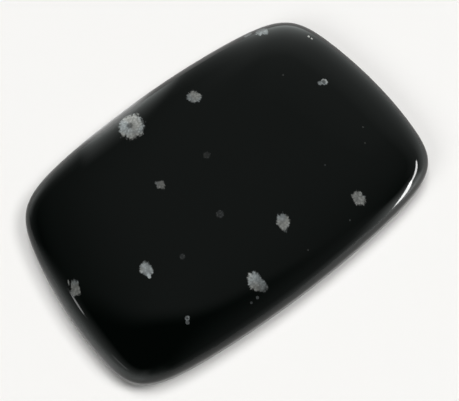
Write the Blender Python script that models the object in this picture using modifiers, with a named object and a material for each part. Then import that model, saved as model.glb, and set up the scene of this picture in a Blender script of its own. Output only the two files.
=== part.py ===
"""Snowflake obsidian cabochon: one cushion-shaped stone with a low dome, a full round side and a flat back.

Metres, +Z up. The origin is the middle of the flat back, and the length runs along X.
"""

import math

import bpy

NAME = "cabochon"
COLLECTION = "snowflake_obsidian_cabochon"

MM = 0.001

# Overall length and width, at the widest line
LENGTH = 36.0 * MM
WIDTH = 24.0 * MM

# Section: height of the widest line, rise of the dome above it, and the power that makes the dome full
GIRDLE_HEIGHT = 1.9 * MM
DOME_RISE = 2.95 * MM
DOME_POWER = 2.4

# How far the side rounds inwards from the widest line to the edge of the back
BACK_TUCK = 0.85 * MM

# Outline: power of its rounded corners, and how far the ends and the long sides bow outwards
EDGE_POWER = 9.3
MIDDLE_POWER = 2.2
POWER_GROWTH = 1.5
END_BOW = 1.45 * MM
SIDE_BOW = 1.47 * MM

# Slight unevenness of a stone shaped by hand: one long side shorter, and the ends out of square
TAPER = -0.042
LEAN = 0.010

# Fineness of the mesh
DOME_RINGS = 22
SIDE_RINGS = 6
SEGMENTS = 96
WELD = 1e-6

# Finish: black volcanic glass, polished
GLASS_COLOUR = (0.011, 0.012, 0.0115, 1.0)
GLASS_ROUGHNESS = 0.05
GLASS_IOR = 1.49


def clear_scene():
    for old in list(bpy.data.objects):
        bpy.data.objects.remove(old, do_unlink=True)


def obsidian():
    material = bpy.data.materials.new("polished_obsidian")
    material.use_nodes = True
    shader = material.node_tree.nodes["Principled BSDF"]
    shader.inputs["Base Color"].default_value = GLASS_COLOUR
    shader.inputs["Metallic"].default_value = 0.0
    shader.inputs["Roughness"].default_value = GLASS_ROUGHNESS
    shader.inputs["IOR"].default_value = GLASS_IOR
    return material


def dome_point(turn):
    """Point of the half section between the top, at no turn, and the widest line, at a quarter turn."""
    spread = math.sin(turn) ** (2 / DOME_POWER)
    lift = max(math.cos(turn), 0.0) ** (2 / DOME_POWER)
    return spread * WIDTH / 2, 0.0, GIRDLE_HEIGHT + DOME_RISE * lift


def side_point(turn):
    """Point of the half section between the widest line, at no turn, and the edge of the back, at a quarter turn."""
    return WIDTH / 2 - BACK_TUCK * (1 - math.cos(turn)), 0.0, GIRDLE_HEIGHT * (1 - math.sin(turn))


def turned_profile():
    """Half section of the stone, as if it were round, from the top down the outside to the middle of the back."""
    quarter = math.pi / 2
    dome = [dome_point(quarter * ring / DOME_RINGS) for ring in range(DOME_RINGS + 1)]
    side = [side_point(quarter * ring / SIDE_RINGS) for ring in range(1, SIDE_RINGS + 1)]
    return dome + side + [(0.0, 0.0, 0.0)]


def turned_stone():
    """The round stone that the cushion is shaped from."""
    points = turned_profile()
    edges = [(i, i + 1) for i in range(len(points) - 1)]
    profile = bpy.data.meshes.new("profile")
    profile.from_pydata(points, edges, [])
    blank = bpy.data.objects.new("blank", profile)
    bpy.context.scene.collection.objects.link(blank)
    screw = blank.modifiers.new("Turn", "SCREW")
    screw.axis = "Z"
    screw.steps = SEGMENTS
    screw.render_steps = SEGMENTS
    screw.use_merge_vertices = True
    screw.merge_threshold = WELD
    turned = bpy.data.meshes.new_from_object(blank.evaluated_get(bpy.context.evaluated_depsgraph_get()))
    bpy.data.objects.remove(blank, do_unlink=True)
    bpy.data.meshes.remove(profile)
    return turned


def cushion_point(x, y):
    """Moves a point of the round stone to its place in the cushion outline."""
    radius = math.hypot(x, y)
    if radius < WELD:
        return 0.0, 0.0
    share = radius / (WIDTH / 2)
    power = MIDDLE_POWER + (EDGE_POWER - MIDDLE_POWER) * share**POWER_GROWTH
    stretch = (abs(x / radius) ** power + abs(y / radius) ** power) ** (-1.0 / power)
    along = share * stretch * x / radius
    across = share * stretch * y / radius
    bowed_along = along * (LENGTH / 2 - END_BOW * across**2)
    bowed_across = across * (WIDTH / 2 - SIDE_BOW * along**2)
    return bowed_along * (1 + TAPER * across) + LENGTH / 2 * LEAN * across, bowed_across


def fit_to_size(mesh):
    """Centres the outline on the origin and brings it to the overall length and width."""
    for axis, size in ((0, LENGTH), (1, WIDTH)):
        places = [vertex.co[axis] for vertex in mesh.vertices]
        middle = (min(places) + max(places)) / 2
        scale = size / (max(places) - min(places))
        for vertex in mesh.vertices:
            vertex.co[axis] = (vertex.co[axis] - middle) * scale


def cabochon():
    stone = turned_stone()
    stone.name = NAME
    for vertex in stone.vertices:
        vertex.co.x, vertex.co.y = cushion_point(vertex.co.x, vertex.co.y)
    fit_to_size(stone)
    stone.shade_smooth()
    stone.set_sharp_from_angle(angle=math.radians(30))
    stone.materials.append(obsidian())
    return bpy.data.objects.new(NAME, stone)


def main():
    clear_scene()
    collection = bpy.data.collections.new(COLLECTION)
    bpy.context.scene.collection.children.link(collection)
    collection.objects.link(cabochon())


main()
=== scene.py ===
import math

import bpy
from mathutils import Matrix, Vector


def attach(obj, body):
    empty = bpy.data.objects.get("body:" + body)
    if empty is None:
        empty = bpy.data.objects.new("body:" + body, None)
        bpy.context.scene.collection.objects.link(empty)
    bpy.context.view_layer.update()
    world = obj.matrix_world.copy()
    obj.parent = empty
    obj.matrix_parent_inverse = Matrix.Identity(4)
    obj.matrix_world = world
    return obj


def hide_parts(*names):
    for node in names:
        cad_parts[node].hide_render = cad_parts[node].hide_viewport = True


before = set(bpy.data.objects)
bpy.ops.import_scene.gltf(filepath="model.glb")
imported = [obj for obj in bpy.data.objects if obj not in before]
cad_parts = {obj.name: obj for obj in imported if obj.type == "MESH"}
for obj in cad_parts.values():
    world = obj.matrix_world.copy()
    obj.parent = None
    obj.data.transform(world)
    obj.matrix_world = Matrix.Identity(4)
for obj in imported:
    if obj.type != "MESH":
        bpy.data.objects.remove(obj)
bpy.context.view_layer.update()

MM = 0.001

# Kinds of node that are used often. The sockets of a mix node go by number. Its input 0 is the share, 2 and
# 3 are numbers, 4 and 5 vectors, and 6 and 7 colours. Its output 0 is a number, and 2 is a colour.
MATH = "ShaderNodeMath"
VECTOR = "ShaderNodeVectorMath"
RANGE = "ShaderNodeMapRange"
MIX = "ShaderNodeMix"
SPLIT = "ShaderNodeSeparateXYZ"
JOIN = "ShaderNodeCombineXYZ"
NOISE = "ShaderNodeTexNoise"
CELLS = "ShaderNodeTexVoronoi"

# The stone, in millimetres: the same section and outline as the solid, with a finer mesh
STONE_SIZES = {
    "Length": 36.0,
    "Width": 24.0,
    "Girdle Height": 1.9,
    "Dome Rise": 2.95,
    "Dome Power": 2.4,
    "Back Tuck": 0.85,
    "Edge Power": 9.3,
    "Middle Power": 2.2,
    "Power Growth": 1.5,
    "End Bow": 1.45,
    "Side Bow": 1.47,
    "Taper": -0.042,
    "Lean": 0.010,
    "Polish Waves": 0.012,
    "Wave Length": 9.0,
}
STONE_SEGMENTS = 420
STONE_RINGS = 150

# Share of the rings that the dome takes, and that the dome and the side take together. The rest make up the
# back.
DOME_SHARE = 0.66
SIDE_SHARE = 0.86

# Points closer than this are one point, in metres
WELD = 1e-8

# A face that looks down this squarely is part of the back
BACK_FACING = -0.9999

# Colours
GLASS_BLACK = "#000201"
GROUND_BLACK = "#0b0c0c"
CRYSTAL_GREY = "#f3f6f0"
CRYSTAL_BLUE = "#eaf4f5"
FLOOR_WHITE = "#ecebe9"

# Usual refractive index of obsidian
OBSIDIAN_IOR = 1.49

# Snowflakes cut by the polished face. Each is its middle, how white it is, the share of it that is a darker
# heart, the way in which it gets whiter and how much for each millimetre, and its radii anticlockwise from
# the long axis of the stone, 30 degrees apart. Lengths are in millimetres.
EVEN = (0.0, 0.0, 0.0)
SNOWFLAKES = {
    "largest": ((-3.19, 9.78, 3.87), 0.32, 0.30, (0.08, 0.30, 0.0),
                (1.22, 1.38, 1.24, 1.22, 1.06, 1.00, 1.10, 1.24, 1.46, 1.50, 1.42, 1.32)),
    "spiky": ((3.10, 8.31, 4.26), 0.185, 0.0, EVEN,
              (0.54, 0.58, 0.78, 0.62, 0.72, 0.68, 0.58, 0.60, 0.64, 0.70, 0.66, 0.72)),
    "blocky": ((-4.64, 3.19, 4.76), 0.115, 0.0, EVEN,
               (0.48, 0.40, 0.32, 0.40, 0.50, 0.28, 0.36, 0.42, 0.34, 0.62, 0.46, 0.42)),
    "ring": ((13.51, 2.19, 4.08), 0.27, 0.74, (0.90, -0.60, 0.0),
             (0.36, 0.35, 0.34, 0.32, 0.31, 0.30, 0.30, 0.32, 0.34, 0.35, 0.36, 0.36)),
    "tail of the ring": ((13.14, 2.29, 4.14), 0.17, 0.0, (0.30, 0.0, 0.0),
                         (0.22, 0.22, 0.24, 0.24, 0.26, 0.25, 0.22, 0.24, 0.27, 0.22, 0.20, 0.20)),
    "two fans": ((8.73, -8.61, 4.11), 0.155, 0.0, EVEN,
                 (0.48, 0.62, 0.71, 0.71, 0.69, 0.55, 0.58, 0.63, 0.55, 0.75, 0.64, 0.68)),
    "pointing down": ((1.88, -6.30, 4.56), 0.18, 0.0, EVEN,
                      (0.64, 0.70, 0.80, 0.72, 0.63, 0.58, 0.56, 0.64, 0.86, 0.68, 0.54, 0.57)),
    "with a bright tip": ((-10.28, -2.23, 4.50), 0.23, 0.0, (0.0, 0.08, 0.0),
                          (0.50, 0.58, 0.62, 0.60, 0.56, 0.54, 0.56, 0.58, 0.74, 0.84, 0.70, 0.58)),
    "bright tip": ((-10.42, -2.90, 4.48), 0.36, 0.0, EVEN,
                   (0.18, 0.22, 0.30, 0.24, 0.16, 0.15, 0.16, 0.24, 0.32, 0.34, 0.22, 0.18)),
    "long fan": ((-3.33, -9.08, 4.08), 0.175, 0.0, (-0.10, 0.60, 0.0),
                 (0.57, 0.75, 0.88, 1.03, 0.86, 0.72, 0.73, 0.66, 0.81, 1.03, 1.14, 0.68)),
    "wedge": ((-16.10, 0.39, 3.46), 0.12, 0.0, EVEN,
              (0.42, 0.62, 0.84, 0.62, 0.40, 0.38, 0.52, 0.74, 0.66, 0.74, 0.46, 0.42)),
    "sliver": ((-16.23, 1.22, 3.38), 0.12, 0.0, EVEN,
               (0.07, 0.10, 0.28, 0.12, 0.07, 0.06, 0.07, 0.12, 0.30, 0.10, 0.07, 0.06)),
    "upper bead": ((-10.08, -7.98, 4.20), 0.13, 0.46, EVEN, (0.23,)),
    "lower bead": ((-10.28, -8.26, 4.14), 0.075, 0.0, EVEN, (0.19,)),
    "far edge": ((12.47, 10.00, 3.34), 0.26, 0.0, (-0.30, -1.05, 0.0),
                 (0.62, 0.66, 0.66, 0.68, 0.72, 0.64, 0.54, 0.56, 0.22, 0.58, 0.62, 0.50)),
    "beside the far edge": ((11.26, 10.66, 3.08), 0.19, 0.0, EVEN,
                            (0.44, 0.34, 0.28, 0.26, 0.28, 0.36, 0.42, 0.30, 0.24, 0.24, 0.28, 0.36)),
}

# Round spots: faint ones just under the surface, and small specks. Each is its middle, how white it is, and
# its radius.
SPOTS = (
    ((0.39, 2.84, 4.81), 0.018, 0.33),
    ((-7.11, -3.39, 4.69), 0.019, 0.26),
    ((-2.12, -2.34, 4.82), 0.021, 0.36),
    ((-4.05, -10.16, 3.73), 0.060, 0.15),
    ((-4.74, -10.19, 3.71), 0.034, 0.12),
    ((13.46, -3.51, 4.11), 0.040, 0.09),
    ((12.55, -4.86, 4.23), 0.026, 0.09),
    ((8.22, -4.39, 4.61), 0.026, 0.09),
    ((6.87, -9.64, 3.87), 0.030, 0.09),
    ((2.13, -9.53, 3.96), 0.030, 0.09),
    ((10.89, 4.95, 4.39), 0.030, 0.09),
    ((15.64, 6.95, 3.31), 0.58, 0.125),
    ((15.72, 6.60, 3.32), 0.58, 0.105),
)

# In what follows, a range is four numbers: where it begins and ends, and what it gives at the two.
# Lengths and heights are in millimetres.

# Snowflakes scattered at random over the low side, below this height, and over the whole back: their
# spacing, how loosely they keep to it, the radius and whiteness that luck gives them, and the share of each
# that is a darker heart
LOW_SIDE = 1.5
WHOLE_BACK = 9.0
SCATTER_STEP = 6.5
SCATTER_LOOSENESS = 0.9
SCATTER_RADIUS = (0.0, 1.0, 0.35, 1.5)
SCATTER_WHITENESS = (0.0, 1.0, 0.08, 0.3)
SCATTER_HEART = 0.2

# A reach of 1 is the outline of a snowflake, and this one is far outside
OUTSIDE = 9.0

# Crystal: how many needles there are in a millimetre, one millimetre out from the middle of a snowflake, and
# where their pattern starts. Then the sizes of knots, grains and patches of tint, and how far a grain stands
# above the glass. Real needles and grains are some hundredths of a millimetre across, too fine to show, so
# they are drawn a few times coarser.
NEEDLES = 6.5
NEEDLE_SEED = (3.7, 3.7, 3.7)
KNOT_SIZE = 0.26
GRAIN_SIZE = 0.11
TINT_SIZE = 1.2
GRAIN_HEIGHT = 0.006

# How far needles, knots and grains push an outline in or out, and how softly it ends
NEEDLE_EDGE = (0.3, 0.7, 0.08, -0.08)
KNOT_EDGE = (0.1, 0.7, -0.08, 0.08)
GRAIN_EDGE = (0.3, 0.7, -0.10, 0.10)
OUTLINE_END = (1.13, 0.84, 0.0, 1.0)

# How they lighten and darken the crystal, how it gets whiter to one side, and how its two tints mix
NEEDLE_TONE = (0.32, 0.68, 0.80, 1.15)
KNOT_TONE = (0.0, 0.65, 1.30, 0.72)
GRAIN_TONE = (0.3, 0.7, 0.82, 1.18)
LEAN_TONE = (-0.6, 0.6, 0.4, 1.6)
TINT_MIX = (0.4, 0.6, 0.0, 1.0)

# A darker heart: the share of it that is darkest, the least step at its rim, and its tones at the two
HEART_CORE = 0.55
HEART_STEP = 0.01
HEART_TONE = (0.35, 1.0)

# How rough the polishing wheel and the grinding lap leave the glass, and how deep their marks are. Then how
# many marks there are in a millimetre along, across and up, how much they vary the roughness, and how much
# rougher the crystal stays than the glass. Real marks are a few hundredths of a millimetre wide or less, too
# fine to show, so they are drawn coarser.
POLISH = 0.045
POLISH_MARKS = 0.0002
GRIND = 0.38
GRIND_MARKS = 0.004
MARKS = (0.5, 6.0, 2.0)
MARK_HAZE = (0.3, 0.7, 0.85, 1.15)
CRYSTAL_DULLNESS = 0.10

# The side took less polish than the face. Its satin sets in just below the rim, and a little higher up on
# the near long side except at its right end. Near the foot there is less of it.
SIDE_SATIN = (3.02, 2.78, 0.0, 0.32)
LONG_SIDE_SATIN = (3.14, 2.80, 0.0, 0.34)
LONG_SIDE = (-6.5, -10.0, 0.0, 1.0)
SHORT_OF_END = (10.5, 6.0, 0.0, 1.0)
FOOT_SATIN = (2.05, 2.50, 0.50, 1.0)

# Stretch of rim that took less polish, beside the largest snowflake: its middle, how it fades away from
# there, how it narrows towards its ends, and the heights between which it fades out
DULL_RIM = (-3.6, 11.3, 3.0)
DULL_RIM_FADE = (5.4, 1.2, 0.0, 0.275)
DULL_RIM_TAPER = 0.10
DULL_RIM_HEIGHT = (3.85, 3.25, 0.0, 1.0)

# Polishing dust that stayed on the dull rim and on the side of the left end: how much there is on the rim,
# then where the middle of the other is, how it fades away from there, towards the face and towards the foot,
# and how rough the bloom is
RIM_DUST = 3.85
DUSTY_END = (-18.0, -2.2, 2.6)
DUSTY_END_FADE = (7.5, 3.5, 0.0, 0.50)
DUSTY_END_TOP = (3.05, 2.65, 0.0, 1.0)
DUSTY_END_FOOT = (2.0, 2.5, 0.3, 1.0)
DUST_ROUGHNESS = 0.5

# Camera: where it looks, from which side and how high, how far away, its lens and its sensor in millimetres,
# and how near to it a thing still shows
CAMERA_AIM = Vector((0.406, -0.469, 0.0)) * MM
CAMERA_AZIMUTH = math.radians(-37.944)
CAMERA_ELEVATION = math.radians(70.0)
CAMERA_DISTANCE = 126.0 * MM
CAMERA_LENS = 106.79
CAMERA_SENSOR = 36.0
CAMERA_NEAREST = 5.0 * MM

UP = Vector((0.0, 0.0, 1.0))
TO_CAMERA = Vector((math.sin(CAMERA_AZIMUTH), -math.cos(CAMERA_AZIMUTH), 0.0))
TO_RIGHT = Vector((math.cos(CAMERA_AZIMUTH), math.sin(CAMERA_AZIMUTH), 0.0))

# Table top: half its width, and how matt it is
TABLE_HALF = 250.0 * MM
BOARD_ROUGHNESS = 0.9

# Lamps that light the table and the crystal. Each is its azimuth and elevation in degrees, its distance and
# its width and height in metres, and its power in watts.
SOFTBOXES = {
    "overhead_softbox": (345, 80, 0.9, (0.44, 0.44), 4.75),
    "right_softbox": (94, 62, 0.9, (0.36, 0.36), 3.63),
    "near_fill": (226, 42, 0.9, (0.50, 0.50), 2.40),
}

# Narrow lamps that show only as glints in the polish. The last number is the turn of the lamp in degrees.
GLINTS = {
    "right_strip_far": (86, 30, 0.5, (0.29, 0.036), 0.43, 15),
    "right_strip_near": (106, 19, 0.5, (0.24, 0.050), 0.62, 53),
    "left_strip": (257, 41, 0.5, (0.035, 0.024), 0.0085, 0),
    "low_left_strip": (230, 35, 0.5, (0.16, 0.02), 0.011, 0),
}

# The photographer leans over the near side of the room and keeps the light off it. The edge of this dark
# part bends towards the camera on either side: where the bend is centred, how steep it is, how it eases off,
# how soft the edge is, and the tone from left to right.
DARK_CENTRE = 0.224
DARK_BEND = 0.966
DARK_EASE = 2.0
DARK_EDGE = (-0.017, 0.095, 0.0, 1.0)
DARK_TONE = (0.15, 0.80, 0.022, 0.17)

# Ceiling: its tone, the gain far off, the loss to either side, and the fall to the left
CEILING_TONE = 0.180
CEILING_GAIN = 0.045
CEILING_LOSS = -0.20
CEILING_LEFT = (-0.50, -0.12, 0.72, 1.0)

# Tint of what the polish mirrors, and tint and tone of the board beyond the edge of the table
COOL_ROOM = (0.94, 1.0, 0.975, 1.0)
PALE_BOARD = (1.0, 1.0, 0.985, 1.0)
BOARD_TONE = 0.92

# Pale walls of the room. Each is the azimuth of its middle and half the angles of its full and of its fading
# part in degrees, the upward share of the direction where it begins, its tone at the table, and the power of
# its fall.
WALLS = (
    (3, 1, 24, 0.82, 1.85, 1.82),
    (18, 2, 22, 0.86, 0.15, 0.60),
    (331.9, 0.8, 4.6, 0.66, 1.62, 1.05),
    (327, 1, 10, 0.40, 0.22, 1.00),
    (318, 1, 22, 0.45, 0.30, 1.00),
    (301, 1, 20, 0.37, 0.80, 0.97),
    (38, 36, 24, 0.73, 0.56, 0.78),
    (89, 16, 34, 0.49, 0.62, 0.67),
    (103, 6, 12, 0.63, 1.90, 0.84),
    (177, 1, 22, 0.85, 1.05, 1.59),
    (222, 29, 18, 0.79, 1.80, 0.99),
    (0, 179, 180, 0.57, 0.26, 0.96),
)


def linear(colour):
    """An sRGB hex colour as linear red, green, blue and alpha."""
    parts = [int(colour[i : i + 2], 16) / 255 for i in (1, 3, 5)]
    return tuple(c / 12.92 if c <= 0.04045 else ((c + 0.055) / 1.055) ** 2.4 for c in parts) + (1.0,)


def add(tree, kind, inputs=(), **settings):
    """Adds a node. An input is a value, a socket, or a node whose first live output is meant."""
    node = tree.nodes.new(kind)
    for name, value in settings.items():
        setattr(node, name, value)
    pairs = inputs.items() if isinstance(inputs, dict) else enumerate(inputs)
    for key, value in pairs:
        if isinstance(value, bpy.types.Node):
            value = next(socket for socket in value.outputs if socket.enabled)
        if isinstance(value, bpy.types.NodeSocket):
            tree.links.new(value, node.inputs[key])
        else:
            node.inputs[key].default_value = value
    return node


def stone_tree():
    """Geometry nodes for the stone: a grid whose X runs round it, and whose Y runs from top to back."""
    tree = bpy.data.node_groups.new("Cushion cabochon", "GeometryNodeTree")
    for name in ("Segments", "Rings"):
        tree.interface.new_socket(name, in_out="INPUT", socket_type="NodeSocketInt")
    for name in STONE_SIZES:
        tree.interface.new_socket(name, in_out="INPUT", socket_type="NodeSocketFloat")
    for name in ("Polished", "Lapped"):
        tree.interface.new_socket(name, in_out="INPUT", socket_type="NodeSocketMaterial")
    tree.interface.new_socket("Stone", in_out="OUTPUT", socket_type="NodeSocketGeometry")
    given = tree.nodes.new("NodeGroupInput").outputs

    counts = {"Vertices X": given["Segments"], "Vertices Y": given["Rings"]}
    grid = add(tree, "GeometryNodeMeshGrid", {"Size X": 1.0, "Size Y": 1.0, **counts})
    spot = add(tree, SPLIT, [add(tree, "GeometryNodeInputPosition")]).outputs
    angle = add(tree, MATH, [spot["X"], 2 * math.pi], operation="MULTIPLY")
    way = add(tree, MATH, [spot["Y"], 0.5], operation="ADD")
    dome_turn = add(tree, RANGE, [way, 0.0, DOME_SHARE, 0.0, math.pi / 2])
    side_turn = add(tree, RANGE, [way, DOME_SHARE, SIDE_SHARE, 0.0, math.pi / 2])
    back = add(tree, RANGE, [way, SIDE_SHARE, 1.0, 1.0, 0.0])

    # Section: share of the way out to the widest line, and height
    fullness = add(tree, MATH, [2.0, given["Dome Power"]], operation="DIVIDE")
    dome_sine = add(tree, MATH, [dome_turn], operation="SINE")
    dome_cosine = add(tree, MATH, [dome_turn], operation="COSINE")
    above = add(tree, MATH, [dome_cosine, 0.0], operation="MAXIMUM")
    spread = add(tree, MATH, [dome_sine, fullness], operation="POWER")
    lift = add(tree, MATH, [above, fullness], operation="POWER")
    half_width = add(tree, MATH, [given["Width"], 2.0], operation="DIVIDE")
    half_length = add(tree, MATH, [given["Length"], 2.0], operation="DIVIDE")
    tuck = add(tree, MATH, [given["Back Tuck"], half_width], operation="DIVIDE")
    side_cosine = add(tree, MATH, [side_turn], operation="COSINE")
    side_sine = add(tree, MATH, [side_turn], operation="SINE")
    inward = add(tree, MATH, [1.0, side_cosine], operation="SUBTRACT")
    tucked = add(tree, MATH, [tuck, inward], operation="MULTIPLY")
    untucked = add(tree, MATH, [1.0, tucked], operation="SUBTRACT")
    outer = add(tree, MATH, [spread, untucked], operation="MULTIPLY")
    share = add(tree, MATH, [outer, back], operation="MULTIPLY")
    drop = add(tree, MATH, [1.0, side_sine], operation="SUBTRACT")
    girdle = add(tree, MATH, [given["Girdle Height"], drop], operation="MULTIPLY")
    height = add(tree, MATH, [given["Dome Rise"], lift, girdle], operation="MULTIPLY_ADD")

    # Outline: a cushion that is rounder towards the middle
    growth = add(tree, MATH, [share, given["Power Growth"]], operation="POWER")
    power_range = add(tree, MATH, [given["Edge Power"], given["Middle Power"]], operation="SUBTRACT")
    power = add(tree, MATH, [power_range, growth, given["Middle Power"]], operation="MULTIPLY_ADD")
    cosine = add(tree, MATH, [angle], operation="COSINE")
    sine = add(tree, MATH, [angle], operation="SINE")
    wide = add(tree, MATH, [cosine], operation="ABSOLUTE")
    deep = add(tree, MATH, [sine], operation="ABSOLUTE")
    wide_power = add(tree, MATH, [wide, power], operation="POWER")
    deep_power = add(tree, MATH, [deep, power], operation="POWER")
    reach = add(tree, MATH, [wide_power, deep_power], operation="ADD")
    root = add(tree, MATH, [-1.0, power], operation="DIVIDE")
    stretch = add(tree, MATH, [reach, root], operation="POWER")
    out = add(tree, MATH, [share, stretch], operation="MULTIPLY")
    along = add(tree, MATH, [out, cosine], operation="MULTIPLY")
    across = add(tree, MATH, [out, sine], operation="MULTIPLY")

    # Bow of the ends and of the sides, and the small unevenness of a stone shaped by hand
    along_square = add(tree, MATH, [along, 2.0], operation="POWER")
    across_square = add(tree, MATH, [across, 2.0], operation="POWER")
    end_bow = add(tree, MATH, [given["End Bow"], across_square], operation="MULTIPLY")
    side_bow = add(tree, MATH, [given["Side Bow"], along_square], operation="MULTIPLY")
    end = add(tree, MATH, [half_length, end_bow], operation="SUBTRACT")
    side = add(tree, MATH, [half_width, side_bow], operation="SUBTRACT")
    taper = add(tree, MATH, [given["Taper"], across, 1.0], operation="MULTIPLY_ADD")
    bowed = add(tree, MATH, [along, end], operation="MULTIPLY")
    lean = add(tree, MATH, [half_length, given["Lean"]], operation="MULTIPLY")
    leaned = add(tree, MATH, [lean, across], operation="MULTIPLY")
    length_place = add(tree, MATH, [bowed, taper, leaned], operation="MULTIPLY_ADD")
    width_place = add(tree, MATH, [across, side], operation="MULTIPLY")
    plan = add(tree, JOIN, [length_place, width_place, 0.0])

    # Slow waves that the polishing wheel leaves, only ever downwards and gone at the widest line
    wave_scale = add(tree, MATH, [1.0, given["Wave Length"]], operation="DIVIDE")
    waves = add(tree, NOISE, {"Vector": plan, "Scale": wave_scale, "Detail": 1.0})
    wave_depth = add(tree, MATH, [waves, given["Polish Waves"]], operation="MULTIPLY")
    sunk = add(tree, MATH, [wave_depth, lift], operation="MULTIPLY")
    surface = add(tree, MATH, [height, sunk], operation="SUBTRACT")
    shape = add(tree, JOIN, [length_place, width_place, surface])
    shaped = add(tree, "GeometryNodeSetPosition", {"Geometry": grid.outputs["Mesh"], "Position": shape})

    # Brings the outline to the overall length and width, about the middle of the back
    box = add(tree, "GeometryNodeBoundBox", [shaped]).outputs
    size = add(tree, VECTOR, [box["Max"], box["Min"]], operation="SUBTRACT")
    corners = add(tree, VECTOR, [box["Max"], box["Min"]], operation="ADD")
    middle = add(tree, VECTOR, [corners, (0.5, 0.5, 0.0)], operation="MULTIPLY")
    thickness = add(tree, SPLIT, [size]).outputs["Z"]
    wanted = add(tree, JOIN, [given["Length"], given["Width"], thickness])
    centred = add(tree, VECTOR, [add(tree, "GeometryNodeInputPosition"), middle], operation="SUBTRACT")
    factor = add(tree, VECTOR, [wanted, size], operation="DIVIDE")
    fitted = add(tree, VECTOR, [centred, factor], operation="MULTIPLY")
    metres = add(tree, VECTOR, [fitted, (MM, MM, MM)], operation="MULTIPLY")
    placed = add(tree, "GeometryNodeSetPosition", {"Geometry": shaped, "Position": metres})

    closed = add(tree, "GeometryNodeMergeByDistance", {"Geometry": placed, "Distance": WELD})
    outward = add(tree, "GeometryNodeFlipFaces", [closed])
    smooth = add(tree, "GeometryNodeSetShadeSmooth", {"Geometry": outward})
    facing = add(tree, SPLIT, [add(tree, "GeometryNodeInputNormal")]).outputs["Z"]
    under = add(tree, "FunctionNodeCompare", {0: facing, 1: BACK_FACING}, operation="LESS_THAN")
    real = add(tree, "GeometryNodeRealizeInstances", [smooth])
    polished = add(tree, "GeometryNodeSetMaterial", {"Geometry": real, "Material": given["Polished"]})
    ground = {"Geometry": polished, "Selection": under.outputs[0], "Material": given["Lapped"]}
    lapped = add(tree, "GeometryNodeSetMaterial", ground)
    add(tree, "NodeGroupOutput", [lapped])
    return tree


def make_stone(polished, lapped):
    """The stone as one mesh with its two finishes."""
    tree = stone_tree()
    blank = bpy.data.objects.new("blank", bpy.data.meshes.new("blank"))
    bpy.context.scene.collection.objects.link(blank)
    nodes = blank.modifiers.new("Shape", "NODES")
    nodes.node_group = tree
    values = {"Segments": STONE_SEGMENTS + 1, "Rings": STONE_RINGS + 1, **STONE_SIZES}
    values.update({"Polished": polished, "Lapped": lapped})
    for socket in tree.interface.items_tree:
        if socket.in_out == "INPUT":
            nodes[socket.identifier] = values[socket.name]
    bpy.context.view_layer.update()
    mesh = bpy.data.meshes.new_from_object(blank.evaluated_get(bpy.context.evaluated_depsgraph_get()))
    bpy.data.objects.remove(blank, do_unlink=True)
    mesh.name = "snowflake_obsidian"
    piece = bpy.data.objects.new("snowflake_obsidian", mesh)
    bpy.context.scene.collection.objects.link(piece)
    return piece


def bearing_group():
    """Node group for a place about a snowflake: its turn, as a share of a circle, and how far off it is."""
    tree = bpy.data.node_groups.new("Snowflake bearing", "ShaderNodeTree")
    for name in ("Place", "Middle"):
        tree.interface.new_socket(name, in_out="INPUT", socket_type="NodeSocketVector")
    for name in ("Turn", "Away"):
        tree.interface.new_socket(name, in_out="OUTPUT", socket_type="NodeSocketFloat")
    given = tree.nodes.new("NodeGroupInput").outputs
    offset = add(tree, VECTOR, [given["Place"], given["Middle"]], operation="SUBTRACT")
    part = add(tree, SPLIT, [offset]).outputs
    angle = add(tree, MATH, [part["Y"], part["X"]], operation="ARCTAN2")
    circle = add(tree, MATH, [angle, 2 * math.pi], operation="DIVIDE")
    turn = add(tree, MATH, [circle], operation="FRACT")
    away = add(tree, VECTOR, [offset], operation="LENGTH")
    add(tree, "NodeGroupOutput", [turn, away])
    return tree


def layer_group():
    """Node group that lays one snowflake beside the ones before: the nearest to its own outline counts."""
    tree = bpy.data.node_groups.new("Snowflake layer", "ShaderNodeTree")
    for name in ("Away", "Radius", "Outline", "Whiteness", "Heart"):
        tree.interface.new_socket(name, in_out="INPUT", socket_type="NodeSocketFloat")
    for name in ("Last Reach", "Last Whiteness", "Last Heart"):
        tree.interface.new_socket(name, in_out="INPUT", socket_type="NodeSocketFloat")
    for name in ("Middle", "Slope", "Last Middle", "Last Slope"):
        tree.interface.new_socket(name, in_out="INPUT", socket_type="NodeSocketVector")
    for name in ("Reach", "Whiteness", "Heart"):
        tree.interface.new_socket(name, in_out="OUTPUT", socket_type="NodeSocketFloat")
    for name in ("Middle", "Slope"):
        tree.interface.new_socket(name, in_out="OUTPUT", socket_type="NodeSocketVector")
    given = tree.nodes.new("NodeGroupInput").outputs
    edge = add(tree, MATH, [given["Radius"], given["Outline"]], operation="MULTIPLY")
    own = add(tree, MATH, [given["Away"], edge], operation="DIVIDE")
    nearer = add(tree, MATH, [own, given["Last Reach"]], operation="LESS_THAN")
    reach = add(tree, MATH, [own, given["Last Reach"]], operation="MINIMUM")
    whiteness = add(tree, MIX, {0: nearer, 2: given["Last Whiteness"], 3: given["Whiteness"]})
    heart = add(tree, MIX, {0: nearer, 2: given["Last Heart"], 3: given["Heart"]})
    middles = {0: nearer, 4: given["Last Middle"], 5: given["Middle"]}
    middle = add(tree, MIX, middles, data_type="VECTOR")
    slopes = {0: nearer, 4: given["Last Slope"], 5: given["Slope"]}
    slope = add(tree, MIX, slopes, data_type="VECTOR")
    add(tree, "NodeGroupOutput", [reach, whiteness, heart, middle, slope])
    return tree


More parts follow.
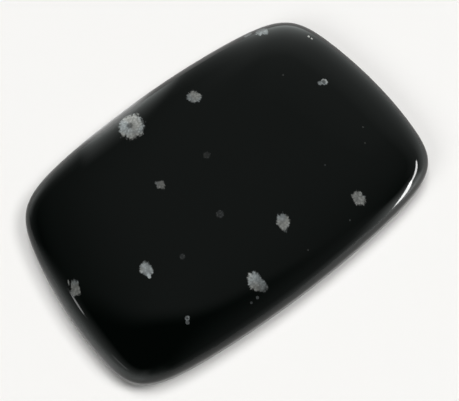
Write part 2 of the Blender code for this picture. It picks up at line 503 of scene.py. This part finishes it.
def scattered_snowflakes(tree, place, height, limit):
    """The first layer: snowflakes scattered at random below a height."""
    cells = {"Vector": place, "Scale": 1 / SCATTER_STEP, "Randomness": SCATTER_LOOSENESS}
    scatter = add(tree, CELLS, cells).outputs
    free = add(tree, MATH, [height, limit], operation="LESS_THAN")
    luck = add(tree, "ShaderNodeSeparateColor", [scatter["Color"]]).outputs
    grown = add(tree, RANGE, [luck[0], *SCATTER_RADIUS])
    middle = add(tree, VECTOR, {0: scatter["Position"], "Scale": SCATTER_STEP}, operation="SCALE")
    away = add(tree, MATH, [scatter["Distance"], SCATTER_STEP], operation="MULTIPLY")
    reach = add(tree, MATH, [away, grown], operation="DIVIDE")
    return {
        "Last Reach": add(tree, MIX, {0: free, 2: OUTSIDE, 3: reach}),
        "Last Whiteness": add(tree, RANGE, [luck[1], *SCATTER_WHITENESS]),
        "Last Heart": SCATTER_HEART,
        "Last Middle": middle,
        "Last Slope": EVEN,
    }


def cut_snowflakes(tree, place, last, flakes, groups):
    """Lays snowflakes one by one beside those of the layers before, and gives the last layer."""
    bearing_tree, layer_tree = groups
    for middle, white, heart, slope, radii in flakes:
        bearing = add(tree, "ShaderNodeGroup", {"Place": place, "Middle": middle}, node_tree=bearing_tree)
        outline = add(tree, "ShaderNodeValToRGB", [bearing.outputs["Turn"]])
        longest = max(radii)
        stops = outline.color_ramp.elements
        for step in range(1, len(radii)):
            stops.new(step / len(radii))
        for step, stop in enumerate(stops):
            grey = radii[step % len(radii)] / longest
            stop.color = (grey, grey, grey, 1.0)
        own = {
            "Away": bearing.outputs["Away"],
            "Outline": outline.outputs["Color"],
            "Radius": longest,
            "Whiteness": white,
            "Heart": heart,
            "Middle": middle,
            "Slope": slope,
        }
        layer = add(tree, "ShaderNodeGroup", {**last, **own}, node_tree=layer_tree)
        last = {"Last " + socket.name: socket for socket in layer.outputs}
    return last


def crystal_in_glass(tree, place, last, glass_colour):
    """Colour of the stone, how fully crystal takes the place of glass, and the grain of the crystal."""
    # Crystal needles run out from the middle of each snowflake, and small knots of crystal sit between them
    offset = add(tree, VECTOR, [place, last["Last Middle"]], operation="SUBTRACT")
    spoke = add(tree, VECTOR, [offset], operation="NORMALIZE")
    own = add(tree, VECTOR, [last["Last Middle"], NEEDLE_SEED, spoke], operation="MULTIPLY_ADD")
    needles = add(tree, NOISE, {"Vector": own, "Scale": NEEDLES, "Detail": 1.0})
    knots = add(tree, CELLS, {"Vector": place, "Scale": 1 / KNOT_SIZE}).outputs["Distance"]
    grain = add(tree, NOISE, {"Vector": place, "Scale": 1 / GRAIN_SIZE, "Detail": 2.0})

    # Outline
    needle_share = add(tree, RANGE, [needles, *NEEDLE_EDGE])
    knot_share = add(tree, RANGE, [knots, *KNOT_EDGE])
    grain_share = add(tree, RANGE, [grain, *GRAIN_EDGE])
    ragged = add(tree, MATH, [needle_share, knot_share], operation="ADD")
    ragged = add(tree, MATH, [ragged, grain_share], operation="ADD")
    edge = add(tree, MATH, [last["Last Reach"], ragged], operation="ADD")
    cover = add(tree, RANGE, [edge, *OUTLINE_END], interpolation_type="SMOOTHSTEP")

    # Tone
    ribs = add(tree, RANGE, [needles, *NEEDLE_TONE])
    lumps = add(tree, RANGE, [knots, *KNOT_TONE])
    fine = add(tree, RANGE, [grain, *GRAIN_TONE])
    core = add(tree, MATH, [last["Last Heart"], HEART_CORE], operation="MULTIPLY")
    rim = add(tree, MATH, [last["Last Heart"], HEART_STEP], operation="ADD")
    heart = [last["Last Reach"], core, rim, *HEART_TONE]
    heart = add(tree, RANGE, heart, interpolation_type="SMOOTHSTEP")
    onward = add(tree, VECTOR, [offset, last["Last Slope"]], operation="DOT_PRODUCT").outputs["Value"]
    lean = add(tree, RANGE, [onward, *LEAN_TONE])
    tone = add(tree, MATH, [ribs, lumps], operation="MULTIPLY")
    for share in (fine, heart, lean, last["Last Whiteness"]):
        tone = add(tree, MATH, [tone, share], operation="MULTIPLY")

    # Colour
    drift = add(tree, NOISE, {"Vector": place, "Scale": 1 / TINT_SIZE, "Detail": 0.0})
    bluish = add(tree, RANGE, [drift, *TINT_MIX])
    tints = {0: bluish, 6: linear(CRYSTAL_GREY), 7: linear(CRYSTAL_BLUE)}
    tint = add(tree, MIX, tints, data_type="RGBA")
    crystal = add(tree, VECTOR, {0: tint, "Scale": tone}, operation="SCALE")
    both = {0: cover, 6: linear(glass_colour), 7: crystal}
    return add(tree, MIX, both, data_type="RGBA"), cover, grain


def dull_rim_share(tree, place, height):
    """How strong the dull stretch of rim is for a place, and how strong for its height."""
    beside = add(tree, VECTOR, [place, DULL_RIM], operation="DISTANCE").outputs["Value"]
    dull_rim = add(tree, RANGE, [beside, *DULL_RIM_FADE], interpolation_type="SMOOTHSTEP")
    wedge = add(tree, MATH, [beside, DULL_RIM_TAPER, height], operation="MULTIPLY_ADD")
    edgeward = add(tree, RANGE, [wedge, *DULL_RIM_HEIGHT], interpolation_type="SMOOTHSTEP")
    return dull_rim, edgeward


def side_satin(tree, part):
    """How much rougher than the face the side is."""
    above = add(tree, RANGE, [part["Z"], *SIDE_SATIN], interpolation_type="SMOOTHSTEP")
    long_side = add(tree, RANGE, [part["Y"], *LONG_SIDE], interpolation_type="SMOOTHSTEP")
    from_corner = add(tree, RANGE, [part["X"], *SHORT_OF_END], interpolation_type="SMOOTHSTEP")
    higher = add(tree, RANGE, [part["Z"], *LONG_SIDE_SATIN], interpolation_type="SMOOTHSTEP")
    higher = add(tree, MATH, [higher, long_side], operation="MULTIPLY")
    higher = add(tree, MATH, [higher, from_corner], operation="MULTIPLY")
    above = add(tree, MATH, [above, higher], operation="MAXIMUM")
    below = add(tree, RANGE, [part["Z"], *FOOT_SATIN], interpolation_type="SMOOTHSTEP")
    return add(tree, MATH, [above, below], operation="MULTIPLY")


def end_dust_share(tree, place, height):
    """How much polishing dust lies on the side of the left end."""
    end_away = add(tree, VECTOR, [place, DUSTY_END], operation="DISTANCE").outputs["Value"]
    end_dust = add(tree, RANGE, [end_away, *DUSTY_END_FADE], interpolation_type="SMOOTHSTEP")
    for limits in (DUSTY_END_TOP, DUSTY_END_FOOT):
        share = add(tree, RANGE, [height, *limits], interpolation_type="SMOOTHSTEP")
        end_dust = add(tree, MATH, [end_dust, share], operation="MULTIPLY")
    return end_dust


def obsidian(name, flakes, groups, scatter_limit, glass_colour, glass_roughness, mark_depth):
    """Black volcanic glass with snowflakes of crystal grown in it. Marks are so many millimetres deep."""
    material = bpy.data.materials.new(name)
    material.use_nodes = True
    tree = material.node_tree
    shader = tree.nodes["Principled BSDF"]
    spot = add(tree, "ShaderNodeTexCoord").outputs["Object"]
    place = add(tree, VECTOR, {0: spot, "Scale": 1 / MM}, operation="SCALE")
    part = add(tree, SPLIT, [place]).outputs
    last = scattered_snowflakes(tree, place, part["Z"], scatter_limit)
    last = cut_snowflakes(tree, place, last, flakes, groups)
    colour, cover, grain = crystal_in_glass(tree, place, last, glass_colour)
    tree.links.new(colour.outputs[2], shader.inputs["Base Color"])

    # Fine marks of the wheel, and the places that took less polish
    along_wheel = add(tree, VECTOR, [place, MARKS], operation="MULTIPLY")
    marks = add(tree, NOISE, {"Vector": along_wheel, "Scale": 1.0, "Detail": 2.0})
    satin = side_satin(tree, part)
    dulled = add(tree, RANGE, [cover, 0.0, 1.0, glass_roughness, glass_roughness + CRYSTAL_DULLNESS])
    haze = add(tree, RANGE, [marks, *MARK_HAZE])
    dull_rim, edgeward = dull_rim_share(tree, place, part["Z"])
    satin = add(tree, MATH, [dull_rim, edgeward, satin], operation="MULTIPLY_ADD")
    roughness = add(tree, MATH, [satin, dulled], operation="ADD")
    roughness = add(tree, MATH, [roughness, haze], operation="MULTIPLY")
    tree.links.new(roughness.outputs[0], shader.inputs["Roughness"])

    # Polishing dust, as a pale bloom
    end_dust = end_dust_share(tree, place, part["Z"])
    rim_dust = add(tree, MATH, [dull_rim, edgeward], operation="MULTIPLY")
    dust = add(tree, MATH, [rim_dust, RIM_DUST, end_dust], operation="MULTIPLY_ADD")
    tree.links.new(dust.outputs[0], shader.inputs["Sheen Weight"])
    shader.inputs["Sheen Roughness"].default_value = DUST_ROUGHNESS

    # Relief: the marks, and crystal grains that stand a hair above the glass
    worn = add(tree, "ShaderNodeBump", {"Height": marks, "Strength": 1.0, "Distance": mark_depth * MM})
    proud = {"Height": grain, "Strength": cover, "Distance": GRAIN_HEIGHT * MM, "Normal": worn}
    relief = add(tree, "ShaderNodeBump", proud)
    tree.links.new(relief.outputs[0], shader.inputs["Normal"])
    shader.inputs["IOR"].default_value = OBSIDIAN_IOR
    return material


def room_direction(azimuth):
    """Level direction at an azimuth in degrees, clockwise from straight beyond the stone."""
    turn = math.radians(azimuth)
    return TO_RIGHT * math.sin(turn) - TO_CAMERA * math.cos(turn)


def room_light():
    """The room as the polish mirrors it, in shares of a white sheet of paper. It doesn't light the table."""
    world = bpy.data.worlds.new("room")
    bpy.context.scene.world = world
    world.use_nodes = True
    world.cycles_visibility.diffuse = False
    tree = world.node_tree
    way = add(tree, "ShaderNodeTexCoord").outputs["Generated"]
    rightward = add(tree, VECTOR, [way, TO_RIGHT], operation="DOT_PRODUCT").outputs["Value"]
    onward = add(tree, VECTOR, [way, -TO_CAMERA], operation="DOT_PRODUCT").outputs["Value"]
    upward = add(tree, SPLIT, [way]).outputs["Z"]
    flat = add(tree, VECTOR, [way, (1.0, 1.0, 0.0)], operation="MULTIPLY")
    level = add(tree, VECTOR, [flat], operation="NORMALIZE")

    # Dark near side
    aside = add(tree, MATH, [rightward, DARK_CENTRE], operation="ADD")
    aside = add(tree, MATH, [aside, 2.0], operation="POWER")
    rise = add(tree, MATH, [aside, DARK_BEND], operation="MULTIPLY")
    ease = add(tree, MATH, [aside, DARK_EASE, 1.0], operation="MULTIPLY_ADD")
    bend = add(tree, MATH, [rise, ease], operation="DIVIDE")
    beyond = add(tree, MATH, [onward, bend], operation="ADD")
    lit = add(tree, RANGE, [beyond, *DARK_EDGE], interpolation_type="SMOOTHSTEP")
    dark = add(tree, RANGE, [rightward, *DARK_TONE], interpolation_type="SMOOTHSTEP")

    # Ceiling, a little brighter far off and dimmer to either side
    left_fall = add(tree, RANGE, [rightward, *CEILING_LEFT], interpolation_type="SMOOTHSTEP")
    far_part = add(tree, MATH, [onward, 0.0], operation="MAXIMUM")
    sideways = add(tree, MATH, [rightward, 2.0], operation="POWER")
    ceiling = add(tree, MATH, [far_part, CEILING_GAIN, CEILING_TONE], operation="MULTIPLY_ADD")
    ceiling = add(tree, MATH, [sideways, CEILING_LOSS, ceiling], operation="MULTIPLY_ADD")
    ceiling = add(tree, MATH, [ceiling, left_fall], operation="MULTIPLY")
    total = add(tree, MIX, {0: lit, 2: dark, 3: ceiling})

    # Walls brighten down towards the table
    for azimuth, full, fade, top, tone, power in WALLS:
        ahead = room_direction(azimuth)
        facing = add(tree, VECTOR, [level, ahead], operation="DOT_PRODUCT").outputs["Value"]
        outer = math.cos(math.radians(min(full + fade, 180)))
        inner = math.cos(math.radians(full))
        spread = add(tree, RANGE, [facing, outer, inner, 0.0, tone], interpolation_type="SMOOTHSTEP")
        fall = add(tree, RANGE, [upward, top, 0.0, 0.0, 1.0])
        fall = add(tree, MATH, [fall, power], operation="POWER")
        total = add(tree, MATH, [spread, fall, total], operation="MULTIPLY_ADD")

    # Beyond the edge of the table the camera sees the same pale board
    seen = add(tree, "ShaderNodeLightPath").outputs["Is Camera Ray"]
    total = add(tree, MIX, {0: seen, 2: total, 3: BOARD_TONE})
    shade = tree.nodes["Background"]
    tree.links.new(total.outputs[0], shade.inputs["Strength"])
    hue = add(tree, MIX, {0: seen, 6: COOL_ROOM, 7: PALE_BOARD}, data_type="RGBA")
    tree.links.new(hue.outputs[2], shade.inputs["Color"])


def area_light(name, azimuth, elevation, distance, size, power, roll=0.0, mirrored=False):
    """A flat lamp that faces the stone, and either shows in the polish or lights the table and crystal."""
    data = bpy.data.lights.new(name, "AREA")
    data.shape = "ELLIPSE"
    data.size, data.size_y = size
    data.energy = power
    lamp = bpy.data.objects.new(name, data)
    lift = math.radians(elevation)
    towards = room_direction(azimuth) * math.cos(lift) + UP * math.sin(lift)
    facing = towards.to_track_quat("Z", "Y").to_matrix()
    turned = facing @ Matrix.Rotation(math.radians(roll), 3, "Z")
    lamp.location = towards * distance
    lamp.rotation_euler = turned.to_euler()
    lamp.visible_glossy = mirrored
    lamp.visible_diffuse = not mirrored
    bpy.context.scene.collection.objects.link(lamp)


def make_camera():
    """The camera of the photo's own view."""
    data = bpy.data.cameras.new("camera")
    data.lens = CAMERA_LENS
    data.sensor_width = CAMERA_SENSOR
    data.clip_start = CAMERA_NEAREST
    camera = bpy.data.objects.new("camera", data)
    direction = TO_CAMERA * math.cos(CAMERA_ELEVATION) + UP * math.sin(CAMERA_ELEVATION)
    camera.location = CAMERA_AIM + direction * CAMERA_DISTANCE
    camera.rotation_euler = direction.to_track_quat("Z", "Y").to_euler()
    bpy.context.scene.collection.objects.link(camera)
    bpy.context.scene.camera = camera


def make_floor():
    """Table top of matt white board. The eye gets an even pale tone and soft shadow, but no mirror image."""
    half = TABLE_HALF
    mesh = bpy.data.meshes.new("table")
    corners = [(-half, -half, 0.0), (half, -half, 0.0), (half, half, 0.0), (-half, half, 0.0)]
    mesh.from_pydata(corners, [], [(0, 1, 2, 3)])
    floor = bpy.data.objects.new("table", mesh)
    material = bpy.data.materials.new("matt_white_board")
    material.use_nodes = True
    shader = material.node_tree.nodes["Principled BSDF"]
    shader.inputs["Base Color"].default_value = linear(FLOOR_WHITE)
    shader.inputs["Roughness"].default_value = BOARD_ROUGHNESS
    mesh.materials.append(material)
    bpy.context.scene.collection.objects.link(floor)


make_camera()
bpy.context.scene.view_settings.view_transform = "Standard"
room_light()
for lamp_name, settings in SOFTBOXES.items():
    area_light(lamp_name, *settings)
for lamp_name, settings in GLINTS.items():
    area_light(lamp_name, *settings, mirrored=True)
make_floor()

round_spots = [(middle, white, 0.0, EVEN, (radius,)) for middle, white, radius in SPOTS]
flakes = [*SNOWFLAKES.values(), *round_spots]
groups = (bearing_group(), layer_group())

# Snowflake obsidian, polished on a felt wheel. The eye gets a deep black glass that mirrors the room, and in
# it grey-white snowflakes that look dry and grainy.
polished = obsidian(
    "polished_snowflake_obsidian", flakes, groups, LOW_SIDE, GLASS_BLACK, POLISH, POLISH_MARKS
)

# Snowflake obsidian, ground on a flat lap. The eye gets a dull dark grey with a broad soft shine and fine
# marks that all run one way, and no mirror image.
lapped = obsidian("lapped_snowflake_obsidian", [], groups, WHOLE_BACK, GROUND_BLACK, GRIND, GRIND_MARKS)

stone = make_stone(polished, lapped)
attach(stone, "root")
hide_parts("cabochon")
